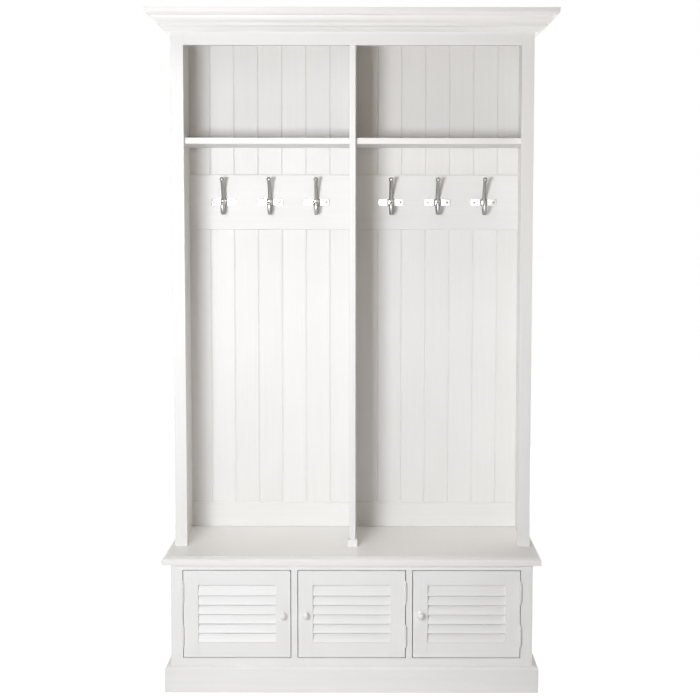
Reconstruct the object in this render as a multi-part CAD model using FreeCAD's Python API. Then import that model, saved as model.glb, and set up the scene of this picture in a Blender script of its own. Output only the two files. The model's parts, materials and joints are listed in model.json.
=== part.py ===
import FreeCAD
import Part
import math
import os

# White hall tree: a bench cupboard with three louvred doors carries an open hutch with coat hooks.
# Sizes are in millimetres. X runs to the right, Y from the front to the wall and Z up.
# The origin is on the floor, in the middle of the outline.

# Overall sizes
HEIGHT = 2080.0
CORNICE_WIDTH = 1250.0
HUTCH_WIDTH = 1112.0
HUTCH_DEPTH = 300.0
BENCH_WIDTH = 1152.0
BENCH_DEPTH = 450.0
BENCH_OVERHANG = 22.0
SEAT_HEIGHT = 421.0
BASE_WIDTH = 1106.0

# Board thicknesses
PANEL = 18.0
SHELF = 19.0
FRAME = 20.0
BENCH_TOP = 24.0
BACK_BOARD = 12.0
RAIL_BOARD = 10.0
BASE_BACK = 6.0
HOUSING = 5.0
REBATE = 8.0

# Bench cupboard
PLINTH_FACE = 75.0
PLINTH_THICK = 18.0
PLINTH_LIP = 2.0
MOULD_RISE = 8.0
MOULD_INSET = 18.0
MOULD_FILLET = 1.5
MOULD_CROWN = 2.2
FRAME_STILE = 36.5
MULLION = 19.0
TOP_RAIL = 19.0
BOTTOM_RAIL = 40.0
OPENING_FOOT = 104.0
BACK_PANEL_FOOT = 60.0

# Louvred doors
DOOR_COUNT = 3
DOOR_GAP = 2.3
DOOR_STILE = 45.0
DOOR_RAIL = 45.0
SLAT_COUNT = 6
SLAT_PITCH = 29.2
SLAT_WIDTH = 34.0
SLAT_THICK = 6.0
SLAT_TILT = 25.0
SLAT_TENON = 6.0
SLAT_DROP = 1.8
SLAT_CHAMFER = 1.8
KNOB_REACH = 28.0
KNOB_RADIUS = 11.0
KNOB_CROWN = 9.0
KNOB_SIDES = 14
KNOB_BANDS = 6

# Two-knuckle hinges with turned finials
HINGE_INSET = 67.0
BARREL_LENGTH = 52.0
BARREL_RADIUS = 4.0
BARREL_STAND_OFF = 0.4
KNUCKLE_GAP = 0.4
PIN_RADIUS = 1.6
PIN_CLEARANCE = 0.05
LEAF_THICK = 1.0
LEAF_DEPTH = 17.0
FINIAL_SIDES = 6

# Magnet catches and their strike plates
CATCH_WIDTH = 14.0
CATCH_DEPTH = 16.0
CATCH_HEIGHT = 46.0
CATCH_DROP = 14.0
CATCH_CHAMFER = 2.0
STRIKE_WIDTH = 10.0
STRIKE_HEIGHT = 38.0
STRIKE_THICK = 1.2
STRIKE_CHAMFER = 2.0
STRIKE_INSET = 1.0
STRIKE_GAP = 0.4

# Hutch
HUTCH_STILE = 38.0
FRIEZE_FOOT = 1975.0
CORNICE_HEIGHT = 65.0
SHELF_FOOT = 1676.0
BOARD_COUNT = 14
BOARD_PITCH = 78.5
BOARD_CHAMFER = 2.5
TONGUE_THICK = 4.0
TONGUE_LENGTH = 6.0
TONGUE_TIP_GAP = 0.3
HOOK_RAIL_FOOT = 1409.0
HOOK_RAIL_HEIGHT = 180.0
SKIRTING_HEIGHT = 80.0
RAIL_CHAMFER = 2.0
FOOT_WIDTH = 31.0
FOOT_HEIGHT = 22.0
FOOT_DEPTH = 46.0
FOOT_PROUD = 4.0
FOOT_ROUND = 4.0

# Cast double coat hooks
HOOKS_PER_BAY = 3
HOOK_SPACING = 152.0
PLATE_WIDTH = 84.0
PLATE_HEIGHT = 22.0
PLATE_THICK = 3.5
PLATE_CORNER = 5.0
BOSS_WIDTH = 24.0
BOSS_RISE = 6.0
BOSS_TAPER = 4.0
UPPER_BALL = 7.6
LOWER_BALL = 6.3
UPPER_ROOT = (13.0, 9.0)
UPPER_TIP = (10.5, 6.5)
LOWER_ROOT = (13.0, 9.0)
LOWER_TIP = (11.0, 7.5)
LOWER_BEND = 21.0
ARM_SIDES = 8
ARM_STEPS = 4
BEND_STEPS = 5
BALL_BANDS = 5

# Centre lines of the hook arms, as (out from the rail, up from the plate's middle)
UPPER_LINE = ((5.0, 6.0), (28.0, 47.0), (58.0, 73.0))
LOWER_LINE = ((6.0, -5.0), (8.0, -16.0), (50.0, -5.0))

# Profiles, as (out, up) points; a third value is the rise of the arc that leads to the point
CORNICE_PROFILE = (
    (0, 0), (11, 0), (11, 1.5), (19.5, 7.5, -1.5), (21, 7.5), (31, 14, 1.6), (33, 14), (33, 23.5),
    (35, 23.5), (50, 43, -4.5), (55, 43), (69, 54, -3.4), (69, CORNICE_HEIGHT), (0, CORNICE_HEIGHT),
)

# Rings of turned pieces, as (radius, height)
KNOB_FOOT = ((8.5, 0.0), (8.5, 1.6), (5.6, 3.4), (4.6, 6.5))
FINIAL = ((3.5, 0.0), (3.5, 1.4), (2.2, 3.0), (3.3, 4.8), (0.8, 11.0))

# Positions worked out from the sizes above
Y_REAR = (BENCH_DEPTH + KNOB_REACH - BENCH_OVERHANG) / 2
Y_BENCH = Y_REAR - BENCH_DEPTH
Y_BASE = Y_BENCH + BENCH_OVERHANG
Y_CARCASE = Y_BASE + FRAME
Y_BASE_BACK = Y_REAR - BASE_BACK
Y_HUTCH = Y_REAR - HUTCH_DEPTH
Y_HUTCH_SIDE = Y_HUTCH + FRAME
Y_BOARDS = Y_REAR - BACK_BOARD
Y_RAIL = Y_BOARDS - RAIL_BOARD
X_BASE = BASE_WIDTH / 2
X_BASE_INSIDE = X_BASE - PANEL
X_HUTCH = HUTCH_WIDTH / 2
X_HUTCH_INSIDE = X_HUTCH - PANEL
X_STILE = X_HUTCH - HUTCH_STILE
X_PARTITION = SHELF / 2
X_BOARDS = BOARD_COUNT * BOARD_PITCH / 2
Z_BENCH_FOOT = SEAT_HEIGHT - BENCH_TOP
Z_OPENING_HEAD = Z_BENCH_FOOT - TOP_RAIL
Z_TOP_BOARD = HEIGHT - PANEL
Z_CORNICE = HEIGHT - CORNICE_HEIGHT
Z_HOOKS = HOOK_RAIL_FOOT + HOOK_RAIL_HEIGHT / 2
OPENING_WIDTH = (BASE_WIDTH - 2 * FRAME_STILE - (DOOR_COUNT - 1) * MULLION) / DOOR_COUNT
DOOR_FOOT = OPENING_FOOT + DOOR_GAP
DOOR_HEAD = Z_OPENING_HEAD - DOOR_GAP
Y_PIN = Y_BASE - BARREL_RADIUS - BARREL_STAND_OFF

# Rise of a quarter-round arc, as a share of its radius
QUARTER = 1 - math.sqrt(0.5)
# Reach of a square's corner from its middle, as a share of its side
DIAGONAL = math.sqrt(0.5)

DOOR_NAMES = ("left", "centre", "right")
HINGE_SIDES = (-1, 1, 1)

V = FreeCAD.Vector
ORIGIN = V(0, 0, 0)
X_AXIS = V(1, 0, 0)
Y_AXIS = V(0, 1, 0)
Z_AXIS = V(0, 0, 1)


# Shape helpers
def block(x0, x1, y0, y1, z0, z1):
    return Part.makeBox(x1 - x0, y1 - y0, z1 - z0, V(x0, y0, z0))


def arc_middle(start, end, rise):
    """Middle of an arc that stands rise to the left of the straight line from start to end."""
    across = end[0] - start[0]
    up = end[1] - start[1]
    length = math.hypot(across, up)
    return ((start[0] + end[0]) / 2 - up / length * rise, (start[1] + end[1]) / 2 + across / length * rise)


def outline(points, place):
    """Closed face through the points; place turns a point's two values into a position."""
    edges = []
    for start, end in zip(points, points[1:] + points[:1]):
        if len(end) == 3:
            middle = arc_middle(start, end, end[2])
            edges.append(Part.Arc(place(*start[:2]), place(*middle), place(*end[:2])).toShape())
        else:
            edges.append(Part.LineSegment(place(*start[:2]), place(*end)).toShape())
    return Part.Face(Part.Wire(edges))


def along_x(points, x0, x1):
    """Prism from x0 to x1 with (y, z) points."""
    return outline(points, lambda y, z: V(x0, y, z)).extrude(X_AXIS * (x1 - x0))


def along_y(points, y0, y1):
    """Prism from y0 to y1 with (x, z) points."""
    return outline(points, lambda x, z: V(x, y0, z)).extrude(Y_AXIS * (y1 - y0))


def along_z(points, z0, z1):
    """Prism from z0 to z1 with (x, y) points."""
    return outline(points, lambda x, y: V(x, y, z0)).extrude(Z_AXIS * (z1 - z0))


def chamfered(width, height, chamfer):
    """Points of a rectangle round its middle, with its corners cut off."""
    x = width / 2
    z = height / 2
    return ((chamfer - x, -z), (x - chamfer, -z), (x, chamfer - z), (x, z - chamfer),
            (x - chamfer, z), (chamfer - x, z), (-x, z - chamfer), (-x, chamfer - z))


def rounded_plate(width, height, corner):
    """Points of a plate's outline round its middle, with arcs at the corners."""
    x = width / 2
    z = height / 2
    rise = -corner * QUARTER
    return (
        (x - corner, -z), (x, corner - z, rise), (x, z - corner), (x - corner, z, rise),
        (corner - x, z), (-x, z - corner, rise), (-x, corner - z), (corner - x, -z, rise),
    )


def ring(centre, first, second, sides):
    """Corners of a many-sided ring round centre, on the oval with these two half axes."""
    turns = [2 * math.pi * (n + 0.5) / sides for n in range(sides)]
    return [centre + first * math.cos(turn) + second * math.sin(turn) for turn in turns]


def flat_face(*corners):
    return Part.Face(Part.makePolygon(corners + corners[:1]))


def skinned(rings):
    """Solid with flat faces from ring to ring; each ring runs anticlockwise, seen from the last one."""
    faces = [flat_face(*reversed(rings[0])), flat_face(*rings[-1])]
    for low, high in zip(rings, rings[1:]):
        for n in range(len(low)):
            faces.append(flat_face(low[n - 1], low[n], high[n]))
            faces.append(flat_face(low[n - 1], high[n], high[n - 1]))
    return Part.makeSolid(Part.makeShell(faces)).removeSplitter()


def oval_rings(radius, half_height, start, bands):
    """Rings of a ball or a flattened ball round height 0, from start (an angle from its lower pole)."""
    end = math.pi * (1 - 0.5 / bands)
    angles = [start + (end - start) * n / (bands - 1) for n in range(bands)]
    return tuple((radius * math.sin(angle), -half_height * math.cos(angle)) for angle in angles)


def faceted(rings, sides, base, axis):
    """Turned piece with many flat sides, round the axis through base."""
    across = axis.cross(X_AXIS)
    return skinned([ring(base + axis * height, X_AXIS * radius, across * radius, sides)
                    for radius, height in rings])


def both_sides(right):
    """Left and right copies of a right-hand piece."""
    return right.mirror(ORIGIN, X_AXIS), right


# Mitred mouldings that wrap the front and both sides of a body
def wrapped_moulding(profile, x_face, y_face, reach, foot):
    """Front, left and right lengths of a moulding with mitred front corners."""
    x_tip = x_face + reach
    y_tip = y_face - reach
    front_points = tuple((y_face - p[0], foot + p[1]) + tuple(-rise for rise in p[2:]) for p in profile)
    side_points = tuple((x_face + p[0], foot + p[1]) + tuple(p[2:]) for p in profile)
    front = along_x(front_points, -x_tip, x_tip)
    side = along_y(side_points, y_tip, Y_REAR)
    head = front.BoundBox.ZMax
    front_plan = ((-x_face, y_face), (-x_tip, y_tip), (x_tip, y_tip), (x_face, y_face))
    side_plan = ((x_face, y_face), (x_tip, y_tip), (x_tip, Y_REAR), (x_face, Y_REAR))
    left, right = both_sides(side.common(along_z(side_plan, foot, head)))
    return front.common(along_z(front_plan, foot, head)), left, right


# Bench cupboard
def opening_left(index):
    """X of the left edge of a door opening."""
    return -X_BASE + FRAME_STILE + index * (OPENING_WIDTH + MULLION)


def mullion_centres():
    return [opening_left(index) - MULLION / 2 for index in range(1, DOOR_COUNT)]


def plinth():
    step = PLINTH_FACE + MOULD_RISE - MOULD_FILLET
    head = PLINTH_FACE + MOULD_RISE
    profile = ((0, 0), (PLINTH_THICK, 0), (PLINTH_THICK, PLINTH_FACE), (PLINTH_LIP, step, -MOULD_CROWN),
               (PLINTH_LIP, head), (0, head))
    front, left, right = wrapped_moulding(profile, X_BASE, Y_BASE, PLINTH_THICK, 0)
    return {"plinth_front": front, "plinth_left": left, "plinth_right": right}


def carcase():
    panel = block(X_BASE_INSIDE, X_BASE, Y_CARCASE, Y_REAR, 0, Z_BENCH_FOOT)
    rebate = block(X_BASE_INSIDE, X_BASE_INSIDE + REBATE, Y_BASE_BACK, Y_REAR, BACK_PANEL_FOOT, Z_BENCH_FOOT)
    left, right = both_sides(panel.cut(rebate))
    divider = block(-PANEL / 2, PANEL / 2, Y_CARCASE, Y_BASE_BACK, OPENING_FOOT, Z_BENCH_FOOT)
    divider_left, divider_right = (divider.translated(X_AXIS * x) for x in mullion_centres())
    back_half = X_BASE_INSIDE + REBATE
    return {
        "base_floor": block(-X_BASE_INSIDE, X_BASE_INSIDE, Y_CARCASE, Y_BASE_BACK,
                            OPENING_FOOT - PANEL, OPENING_FOOT),
        "base_side_left": left,
        "base_side_right": right,
        "base_divider_left": divider_left,
        "base_divider_right": divider_right,
        "base_back_panel": block(-back_half, back_half, Y_BASE_BACK, Y_REAR, BACK_PANEL_FOOT, Z_BENCH_FOOT),
    }


def face_frame():
    inside = X_BASE - FRAME_STILE
    left, right = both_sides(block(inside, X_BASE, Y_BASE, Y_CARCASE, 0, Z_BENCH_FOOT))
    rail_foot = OPENING_FOOT - BOTTOM_RAIL
    mullions = [
        block(x - MULLION / 2, x + MULLION / 2, Y_BASE, Y_CARCASE, OPENING_FOOT, Z_OPENING_HEAD)
        for x in mullion_centres()
    ]
    return {
        "frame_stile_left": left,
        "frame_stile_right": right,
        "frame_mullions": Part.makeCompound(mullions),
        "frame_top_rail": block(-inside, inside, Y_BASE, Y_CARCASE, Z_OPENING_HEAD, Z_BENCH_FOOT),
        "frame_bottom_rail": block(-inside, inside, Y_BASE, Y_CARCASE, rail_foot, OPENING_FOOT),
    }


def bench_top():
    """Slab whose front and side edges share one moulding, found where two prisms cross."""
    edge = SEAT_HEIGHT - MOULD_RISE
    step = SEAT_HEIGHT - MOULD_FILLET
    half = BENCH_WIDTH / 2
    front = along_x(((Y_REAR, Z_BENCH_FOOT), (Y_BENCH, Z_BENCH_FOOT), (Y_BENCH, edge),
                     (Y_BENCH + MOULD_INSET, step, MOULD_CROWN), (Y_BENCH + MOULD_INSET, SEAT_HEIGHT),
                     (Y_REAR, SEAT_HEIGHT)), -half, half)
    sides = along_y(((-half, Z_BENCH_FOOT), (half, Z_BENCH_FOOT), (half, edge),
                     (half - MOULD_INSET, step, -MOULD_CROWN), (half - MOULD_INSET, SEAT_HEIGHT),
                     (MOULD_INSET - half, SEAT_HEIGHT), (MOULD_INSET - half, step),
                     (-half, edge, -MOULD_CROWN)), Y_BENCH, Y_REAR)
    return {"bench_top": front.common(sides)}


# Louvred doors
def slat(x0, x1, middle):
    """Slat from x0 to x1 with chamfered edges, whose lower edge leans to the front."""
    y = Y_BASE + FRAME / 2
    sine = math.sin(math.radians(SLAT_TILT))
    cosine = math.cos(math.radians(SLAT_TILT))
    points = tuple((y + out * cosine + up * sine, middle - out * sine + up * cosine)
                   for out, up in chamfered(SLAT_THICK, SLAT_WIDTH, SLAT_CHAMFER))
    return along_x(points, x0, x1)


def knob(x, z):
    """Turned knob: a foot and neck that carry a flattened ball."""
    neck = math.asin(KNOB_FOOT[-1][0] / KNOB_RADIUS)
    rings = oval_rings(KNOB_RADIUS, KNOB_CROWN, neck, KNOB_BANDS)
    head = tuple((radius, KNOB_REACH - rings[-1][1] + height) for radius, height in rings)
    return faceted(KNOB_FOOT + head, KNOB_SIDES, V(x, Y_BASE, z), -Y_AXIS)


def door(index):
    """Nodes of one door, hung on the left (-1) or right (1) edge of its opening."""
    side = HINGE_SIDES[index]
    x0 = opening_left(index) + DOOR_GAP
    x1 = opening_left(index) + OPENING_WIDTH - DOOR_GAP
    inner0 = x0 + DOOR_STILE
    inner1 = x1 - DOOR_STILE
    middle = (DOOR_FOOT + DOOR_HEAD) / 2
    rails = [
        block(inner0, inner1, Y_BASE, Y_CARCASE, foot, foot + DOOR_RAIL)
        for foot in (DOOR_FOOT, DOOR_HEAD - DOOR_RAIL)
    ]
    slats = []
    for n in range(SLAT_COUNT):
        height = middle - SLAT_DROP + (n - (SLAT_COUNT - 1) / 2) * SLAT_PITCH
        slats.append(slat(inner0 - SLAT_TENON, inner1 + SLAT_TENON, height).cut(rails[0]))
    stiles = []
    for left in (x0, inner1):
        stile = block(left, left + DOOR_STILE, Y_BASE, Y_CARCASE, DOOR_FOOT, DOOR_HEAD)
        for piece in slats:
            stile = stile.cut(piece)
        stiles.append(stile)
    free_edge = x0 if side > 0 else x1
    knob_x = free_edge + side * DOOR_STILE / 2
    name = "door_" + DOOR_NAMES[index]
    return {
        name + "_stiles": Part.makeCompound(stiles),
        name + "_rails": Part.makeCompound(rails),
        name + "_louvres": Part.makeCompound(slats),
        name + "_knob": knob(knob_x, middle),
        name + "_hinge_leaves": Part.makeCompound([door_leaf(index, z) for z in hinge_heights()]),
        name + "_strike": strike(free_edge, side),
    }


# Hinges
def hinge_heights():
    return DOOR_FOOT + HINGE_INSET, DOOR_HEAD - HINGE_INSET


def hinge_x(index):
    """X of a door's pin axis, in the middle of the gap on its hinge side."""
    if HINGE_SIDES[index] < 0:
        return opening_left(index) + DOOR_GAP / 2
    return opening_left(index) + OPENING_WIDTH - DOOR_GAP / 2


def hinge_leaf(x, outward, z, foot, head):
    """Leaf on the outward side of the pin, with a bored knuckle from foot to head."""
    inner = (DOOR_GAP / 2 - LEAF_THICK) * outward
    outer = DOOR_GAP / 2 * outward
    x0 = x + min(inner, outer)
    x1 = x + max(inner, outer)
    half = BARREL_LENGTH / 2
    leaf = block(x0, x1, Y_BASE, Y_BASE + LEAF_DEPTH, z - half, z + half)
    neck = block(x0, x1, Y_PIN, Y_BASE, z + foot, z + head)
    barrel = Part.makeCylinder(BARREL_RADIUS, head - foot, V(x, Y_PIN, z + foot))
    bore = Part.makeCylinder(PIN_RADIUS + PIN_CLEARANCE, head - foot, V(x, Y_PIN, z + foot))
    return leaf.fuse(neck).fuse(barrel).cut(bore).removeSplitter()


def door_leaf(index, z):
    """Leaf of the door, with the upper knuckle, which stays clear of the finial above it."""
    play = KNUCKLE_GAP / 2
    return hinge_leaf(hinge_x(index), -HINGE_SIDES[index], z, play, BARREL_LENGTH / 2 - play)


def frame_leaf(index, z):
    """Leaf of the frame, with the lower knuckle."""
    return hinge_leaf(hinge_x(index), HINGE_SIDES[index], z, -BARREL_LENGTH / 2, -KNUCKLE_GAP / 2)


def hinge_pin(index, z):
    """Pin with a turned finial at each end."""
    half = BARREL_LENGTH / 2
    middle = V(hinge_x(index), Y_PIN, z)
    pin = Part.makeCylinder(PIN_RADIUS, BARREL_LENGTH, middle - Z_AXIS * half)
    for axis in (Z_AXIS, -Z_AXIS):
        pin = pin.fuse(faceted(FINIAL, FINIAL_SIDES, middle + axis * half, axis))
    return pin


def hinges():
    places = [(index, z) for index in range(DOOR_COUNT) for z in hinge_heights()]
    return {
        "hinge_frame_leaves": Part.makeCompound([frame_leaf(index, z) for index, z in places]),
        "hinge_pins": Part.makeCompound([hinge_pin(index, z) for index, z in places]),
    }


# Magnet catches
def strike(free_edge, side):
    """Steel plate on the back of a door, beside its free edge."""
    x = free_edge + side * (STRIKE_WIDTH / 2 + STRIKE_INSET)
    z = DOOR_HEAD - CATCH_DROP - CATCH_HEIGHT / 2
    points = chamfered(STRIKE_WIDTH, STRIKE_HEIGHT, STRIKE_CHAMFER)
    plate = along_y(points, Y_CARCASE, Y_CARCASE + STRIKE_THICK)
    return plate.translated(V(x, 0, z))


def catches():
    """Catch housings on the dividers, behind the free edge of each door."""
    faces = ((mullion_centres()[0], -1), (mullion_centres()[0], 1), (mullion_centres()[1], 1))
    y0 = Y_CARCASE + STRIKE_THICK + STRIKE_GAP
    head = DOOR_HEAD - CATCH_DROP
    shapes = []
    for centre, side in faces:
        root = centre + side * PANEL / 2
        tip = root + side * CATCH_WIDTH
        points = ((root, y0), (tip - side * CATCH_CHAMFER, y0), (tip, y0 + CATCH_CHAMFER),
                  (tip, y0 + CATCH_DEPTH), (root, y0 + CATCH_DEPTH))
        shapes.append(along_z(points, head - CATCH_HEIGHT, head))
    return {"magnet_catches": Part.makeCompound(shapes)}


# Hutch
def shelf_board():
    """Right-hand shelf, with both ends housed in the boards that carry it."""
    return block(X_PARTITION - HOUSING, X_HUTCH_INSIDE + HOUSING, Y_HUTCH_SIDE, Y_BOARDS,
                 SHELF_FOOT, SHELF_FOOT + SHELF)


def hutch_frame():
    panel = block(X_HUTCH_INSIDE, X_HUTCH, Y_HUTCH_SIDE, Y_REAR, SEAT_HEIGHT, Z_TOP_BOARD)
    rebate = block(X_HUTCH_INSIDE, X_BOARDS, Y_BOARDS, Y_REAR, SEAT_HEIGHT, Z_TOP_BOARD)
    side_left, side_right = both_sides(panel.cut(rebate).cut(shelf_board()))
    stile = block(X_STILE, X_HUTCH, Y_HUTCH, Y_HUTCH_SIDE, SEAT_HEIGHT, Z_TOP_BOARD)
    stile_left, stile_right = both_sides(stile)
    return {
        "hutch_side_left": side_left,
        "hutch_side_right": side_right,
        "hutch_stile_left": stile_left,
        "hutch_stile_right": stile_right,
        "frieze_rail": block(-X_STILE, X_STILE, Y_HUTCH, Y_HUTCH_SIDE, FRIEZE_FOOT, Z_TOP_BOARD),
        "hutch_top_board": block(-X_HUTCH, X_HUTCH, Y_HUTCH, Y_REAR, Z_TOP_BOARD, HEIGHT),
    }


def shelves():
    left, right = both_sides(shelf_board())
    return {"shelf_left": left, "shelf_right": right}


def partition():
    """Upright board, notched for the frieze and the foot, with a housing for each shelf."""
    foot_rear = Y_HUTCH - FOOT_PROUD + FOOT_DEPTH
    foot_head = SEAT_HEIGHT + FOOT_HEIGHT
    board = along_x(((foot_rear, SEAT_HEIGHT), (foot_rear, foot_head), (Y_HUTCH, foot_head),
                     (Y_HUTCH, FRIEZE_FOOT), (Y_HUTCH_SIDE, FRIEZE_FOOT), (Y_HUTCH_SIDE, Z_TOP_BOARD),
                     (Y_BOARDS, Z_TOP_BOARD), (Y_BOARDS, SEAT_HEIGHT)), -X_PARTITION, X_PARTITION)
    for shelf in both_sides(shelf_board()):
        board = board.cut(shelf)
    half = FOOT_WIDTH / 2
    rise = -FOOT_ROUND * QUARTER
    foot = along_y(((-half, SEAT_HEIGHT), (half, SEAT_HEIGHT), (half, foot_head - FOOT_ROUND),
                    (half - FOOT_ROUND, foot_head, rise), (FOOT_ROUND - half, foot_head),
                    (-half, foot_head - FOOT_ROUND, rise)), Y_HUTCH - FOOT_PROUD, foot_rear)
    return {"hutch_partition": board, "partition_foot": foot}


def cornice():
    reach = (CORNICE_WIDTH - HUTCH_WIDTH) / 2
    front, left, right = wrapped_moulding(CORNICE_PROFILE, X_HUTCH, Y_HUTCH, reach, Z_CORNICE)
    return {"cornice_front": front, "cornice_left": left, "cornice_right": right}


def back_board(index):
    """One tongue and groove board with chamfered front edges."""
    x0 = -X_BOARDS + index * BOARD_PITCH
    x1 = x0 + BOARD_PITCH
    near = (Y_BOARDS + Y_REAR - TONGUE_THICK) / 2
    far = near + TONGUE_THICK
    points = [(x0 + BOARD_CHAMFER, Y_BOARDS), (x1 - BOARD_CHAMFER, Y_BOARDS), (x1, Y_BOARDS + BOARD_CHAMFER)]
    if index < BOARD_COUNT - 1:
        tip = x1 + TONGUE_LENGTH - TONGUE_TIP_GAP
        points += [(x1, near), (tip, near), (tip, far), (x1, far)]
    points += [(x1, Y_REAR), (x0, Y_REAR)]
    if index > 0:
        root = x0 + TONGUE_LENGTH
        points += [(x0, far), (root, far), (root, near), (x0, near)]
    points.append((x0, Y_BOARDS + BOARD_CHAMFER))
    return along_z(tuple(points), SEAT_HEIGHT, Z_TOP_BOARD)


def wall_rail(foot, height):
    """Right-hand board across a bay, in front of the back boards, with chamfered front edges."""
    head = foot + height
    return along_x(((Y_BOARDS, foot), (Y_RAIL + RAIL_CHAMFER, foot), (Y_RAIL, foot + RAIL_CHAMFER),
                    (Y_RAIL, head - RAIL_CHAMFER), (Y_RAIL + RAIL_CHAMFER, head), (Y_BOARDS, head)),
                   X_PARTITION, X_HUTCH_INSIDE)


def hutch_back():
    rail_left, rail_right = both_sides(wall_rail(HOOK_RAIL_FOOT, HOOK_RAIL_HEIGHT))
    skirting_left, skirting_right = both_sides(wall_rail(SEAT_HEIGHT, SKIRTING_HEIGHT))
    return {
        "back_boards": Part.makeCompound([back_board(index) for index in range(BOARD_COUNT)]),
        "hook_rail_left": rail_left,
        "hook_rail_right": rail_right,
        "back_skirting_left": skirting_left,
        "back_skirting_right": skirting_right,
    }


# Coat hooks
def hook_centres():
    bay = (X_PARTITION + X_HUTCH_INSIDE) / 2
    offsets = [(n - (HOOKS_PER_BAY - 1) / 2) * HOOK_SPACING for n in range(HOOKS_PER_BAY)]
    return [side * bay + offset for side in (-1, 1) for offset in offsets]


def hook_point(out, up):
    """Position of a hook's (out, up) point, for a hook in the middle of the hutch."""
    return V(0, Y_RAIL - out, Z_HOOKS + up)


def arm_section(out, up, heading, size):
    """Oval across an arm that runs along heading, measured from straight up towards the front."""
    centre = hook_point(out, up)
    across = V(0, math.cos(heading), math.sin(heading))
    width, thick = size
    return ring(centre, X_AXIS * (width / 2), across * (thick / 2), ARM_SIDES)


def ball(radius, out, up):
    """Ball that ends an arm."""
    rings = oval_rings(radius, radius, math.pi / 2 / BALL_BANDS, BALL_BANDS)
    return faceted(rings, ARM_SIDES, hook_point(out, up), Z_AXIS)


def blend_size(root, tip, share):
    return tuple(a + (b - a) * share for a, b in zip(root, tip))


def upper_arm():
    """Arm that flares up and out along a quadratic curve to a ball."""
    p0, p1, p2 = UPPER_LINE
    sections = []
    for step in range(ARM_STEPS + 1):
        t = step / ARM_STEPS
        out, up = ((1 - t) ** 2 * a + 2 * t * (1 - t) * b + t * t * c for a, b, c in zip(p0, p1, p2))
        run, climb = ((1 - t) * (b - a) + t * (c - b) for a, b, c in zip(p0, p1, p2))
        sections.append(arm_section(out, up, math.atan2(run, climb), blend_size(UPPER_ROOT, UPPER_TIP, t)))
    return skinned(sections), ball(UPPER_BALL, *p2)


def lower_arm():
    """Arm that hangs down, turns through half a circle and rises to a ball."""
    root, bend, tip = LOWER_LINE
    stations = [(root[0], root[1], math.pi)]
    for step in range(BEND_STEPS + 1):
        turn = math.pi * step / BEND_STEPS
        stations.append((bend[0] + LOWER_BEND * (1 - math.cos(turn)), bend[1] - LOWER_BEND * math.sin(turn),
                         math.pi - turn))
    stations.append((tip[0], tip[1], 0.0))
    last = len(stations) - 1
    sections = [
        arm_section(out, up, heading, blend_size(LOWER_ROOT, LOWER_TIP, n / last))
        for n, (out, up, heading) in enumerate(stations)
    ]
    return skinned(sections), ball(LOWER_BALL, *tip)


def boss_ring(width, height, out):
    """Corners of a rectangle round the plate's middle, this far out from the rail."""
    return ring(Y_AXIS * -out, X_AXIS * (width * DIAGONAL), Z_AXIS * (height * DIAGONAL), 4)


def hook_plate():
    """Back plate with a tapered boss in its middle."""
    plate = along_y(rounded_plate(PLATE_WIDTH, PLATE_HEIGHT, PLATE_CORNER), -PLATE_THICK, 0)
    taper = 2 * BOSS_TAPER
    foot = boss_ring(BOSS_WIDTH, PLATE_HEIGHT, PLATE_THICK)
    head = boss_ring(BOSS_WIDTH - taper, PLATE_HEIGHT - taper, PLATE_THICK + BOSS_RISE)
    return plate.fuse(skinned([foot, head])).translated(hook_point(0, 0))


def coat_hooks():
    hook = hook_plate()
    for piece in upper_arm() + lower_arm():
        hook = hook.fuse(piece)
    centres = enumerate(hook_centres(), 1)
    return {"coat_hook_%d" % number: hook.translated(X_AXIS * x) for number, x in centres}


def all_nodes():
    nodes = {}
    for group in (plinth, carcase, face_frame, bench_top, hinges, catches, hutch_frame, shelves,
                  partition, cornice, hutch_back, coat_hooks):
        nodes.update(group())
    for index in range(DOOR_COUNT):
        nodes.update(door(index))
    return nodes


os.makedirs("parts", exist_ok=True)
for node, shape in all_nodes().items():
    shape.exportStep("parts/" + node + ".step")
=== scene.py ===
import json
import math
import random

import bmesh
import bpy
from mathutils import Matrix, Vector


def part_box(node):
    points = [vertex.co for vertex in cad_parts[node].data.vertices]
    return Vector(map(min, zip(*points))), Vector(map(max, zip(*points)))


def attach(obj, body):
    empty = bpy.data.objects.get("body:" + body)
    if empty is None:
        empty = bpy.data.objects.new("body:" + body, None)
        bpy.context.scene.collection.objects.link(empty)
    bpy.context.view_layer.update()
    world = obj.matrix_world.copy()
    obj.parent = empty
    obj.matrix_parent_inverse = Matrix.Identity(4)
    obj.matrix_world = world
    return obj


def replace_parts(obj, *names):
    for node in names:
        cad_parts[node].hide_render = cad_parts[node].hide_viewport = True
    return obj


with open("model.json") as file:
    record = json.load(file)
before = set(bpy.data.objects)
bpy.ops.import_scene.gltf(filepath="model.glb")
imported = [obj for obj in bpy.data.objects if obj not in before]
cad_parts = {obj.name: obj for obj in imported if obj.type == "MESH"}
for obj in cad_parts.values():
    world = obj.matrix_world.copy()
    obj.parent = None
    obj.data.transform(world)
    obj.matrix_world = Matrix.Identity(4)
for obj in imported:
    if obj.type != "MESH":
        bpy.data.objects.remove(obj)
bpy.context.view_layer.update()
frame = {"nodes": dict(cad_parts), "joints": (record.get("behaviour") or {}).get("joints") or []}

# White hall tree: finishes, turned and cast pieces, screws, light and camera, in metres.

MM = 0.001
SMOOTH_ANGLE = math.radians(34)
HOOK_SMOOTH_ANGLE = math.radians(38)
BEVEL_ANGLE = math.radians(30)
EASE_ANGLE = math.radians(32)
FLAT_ANGLE = math.radians(1)
EDGE_STEPS = 3
SQUARE = ((1, 1), (-1, 1), (-1, -1), (1, -1))
HOOK_SCREW_SEED = 7
HINGE_SCREW_SEED = 19
DOOR_SCREW_SEED = 31

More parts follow.
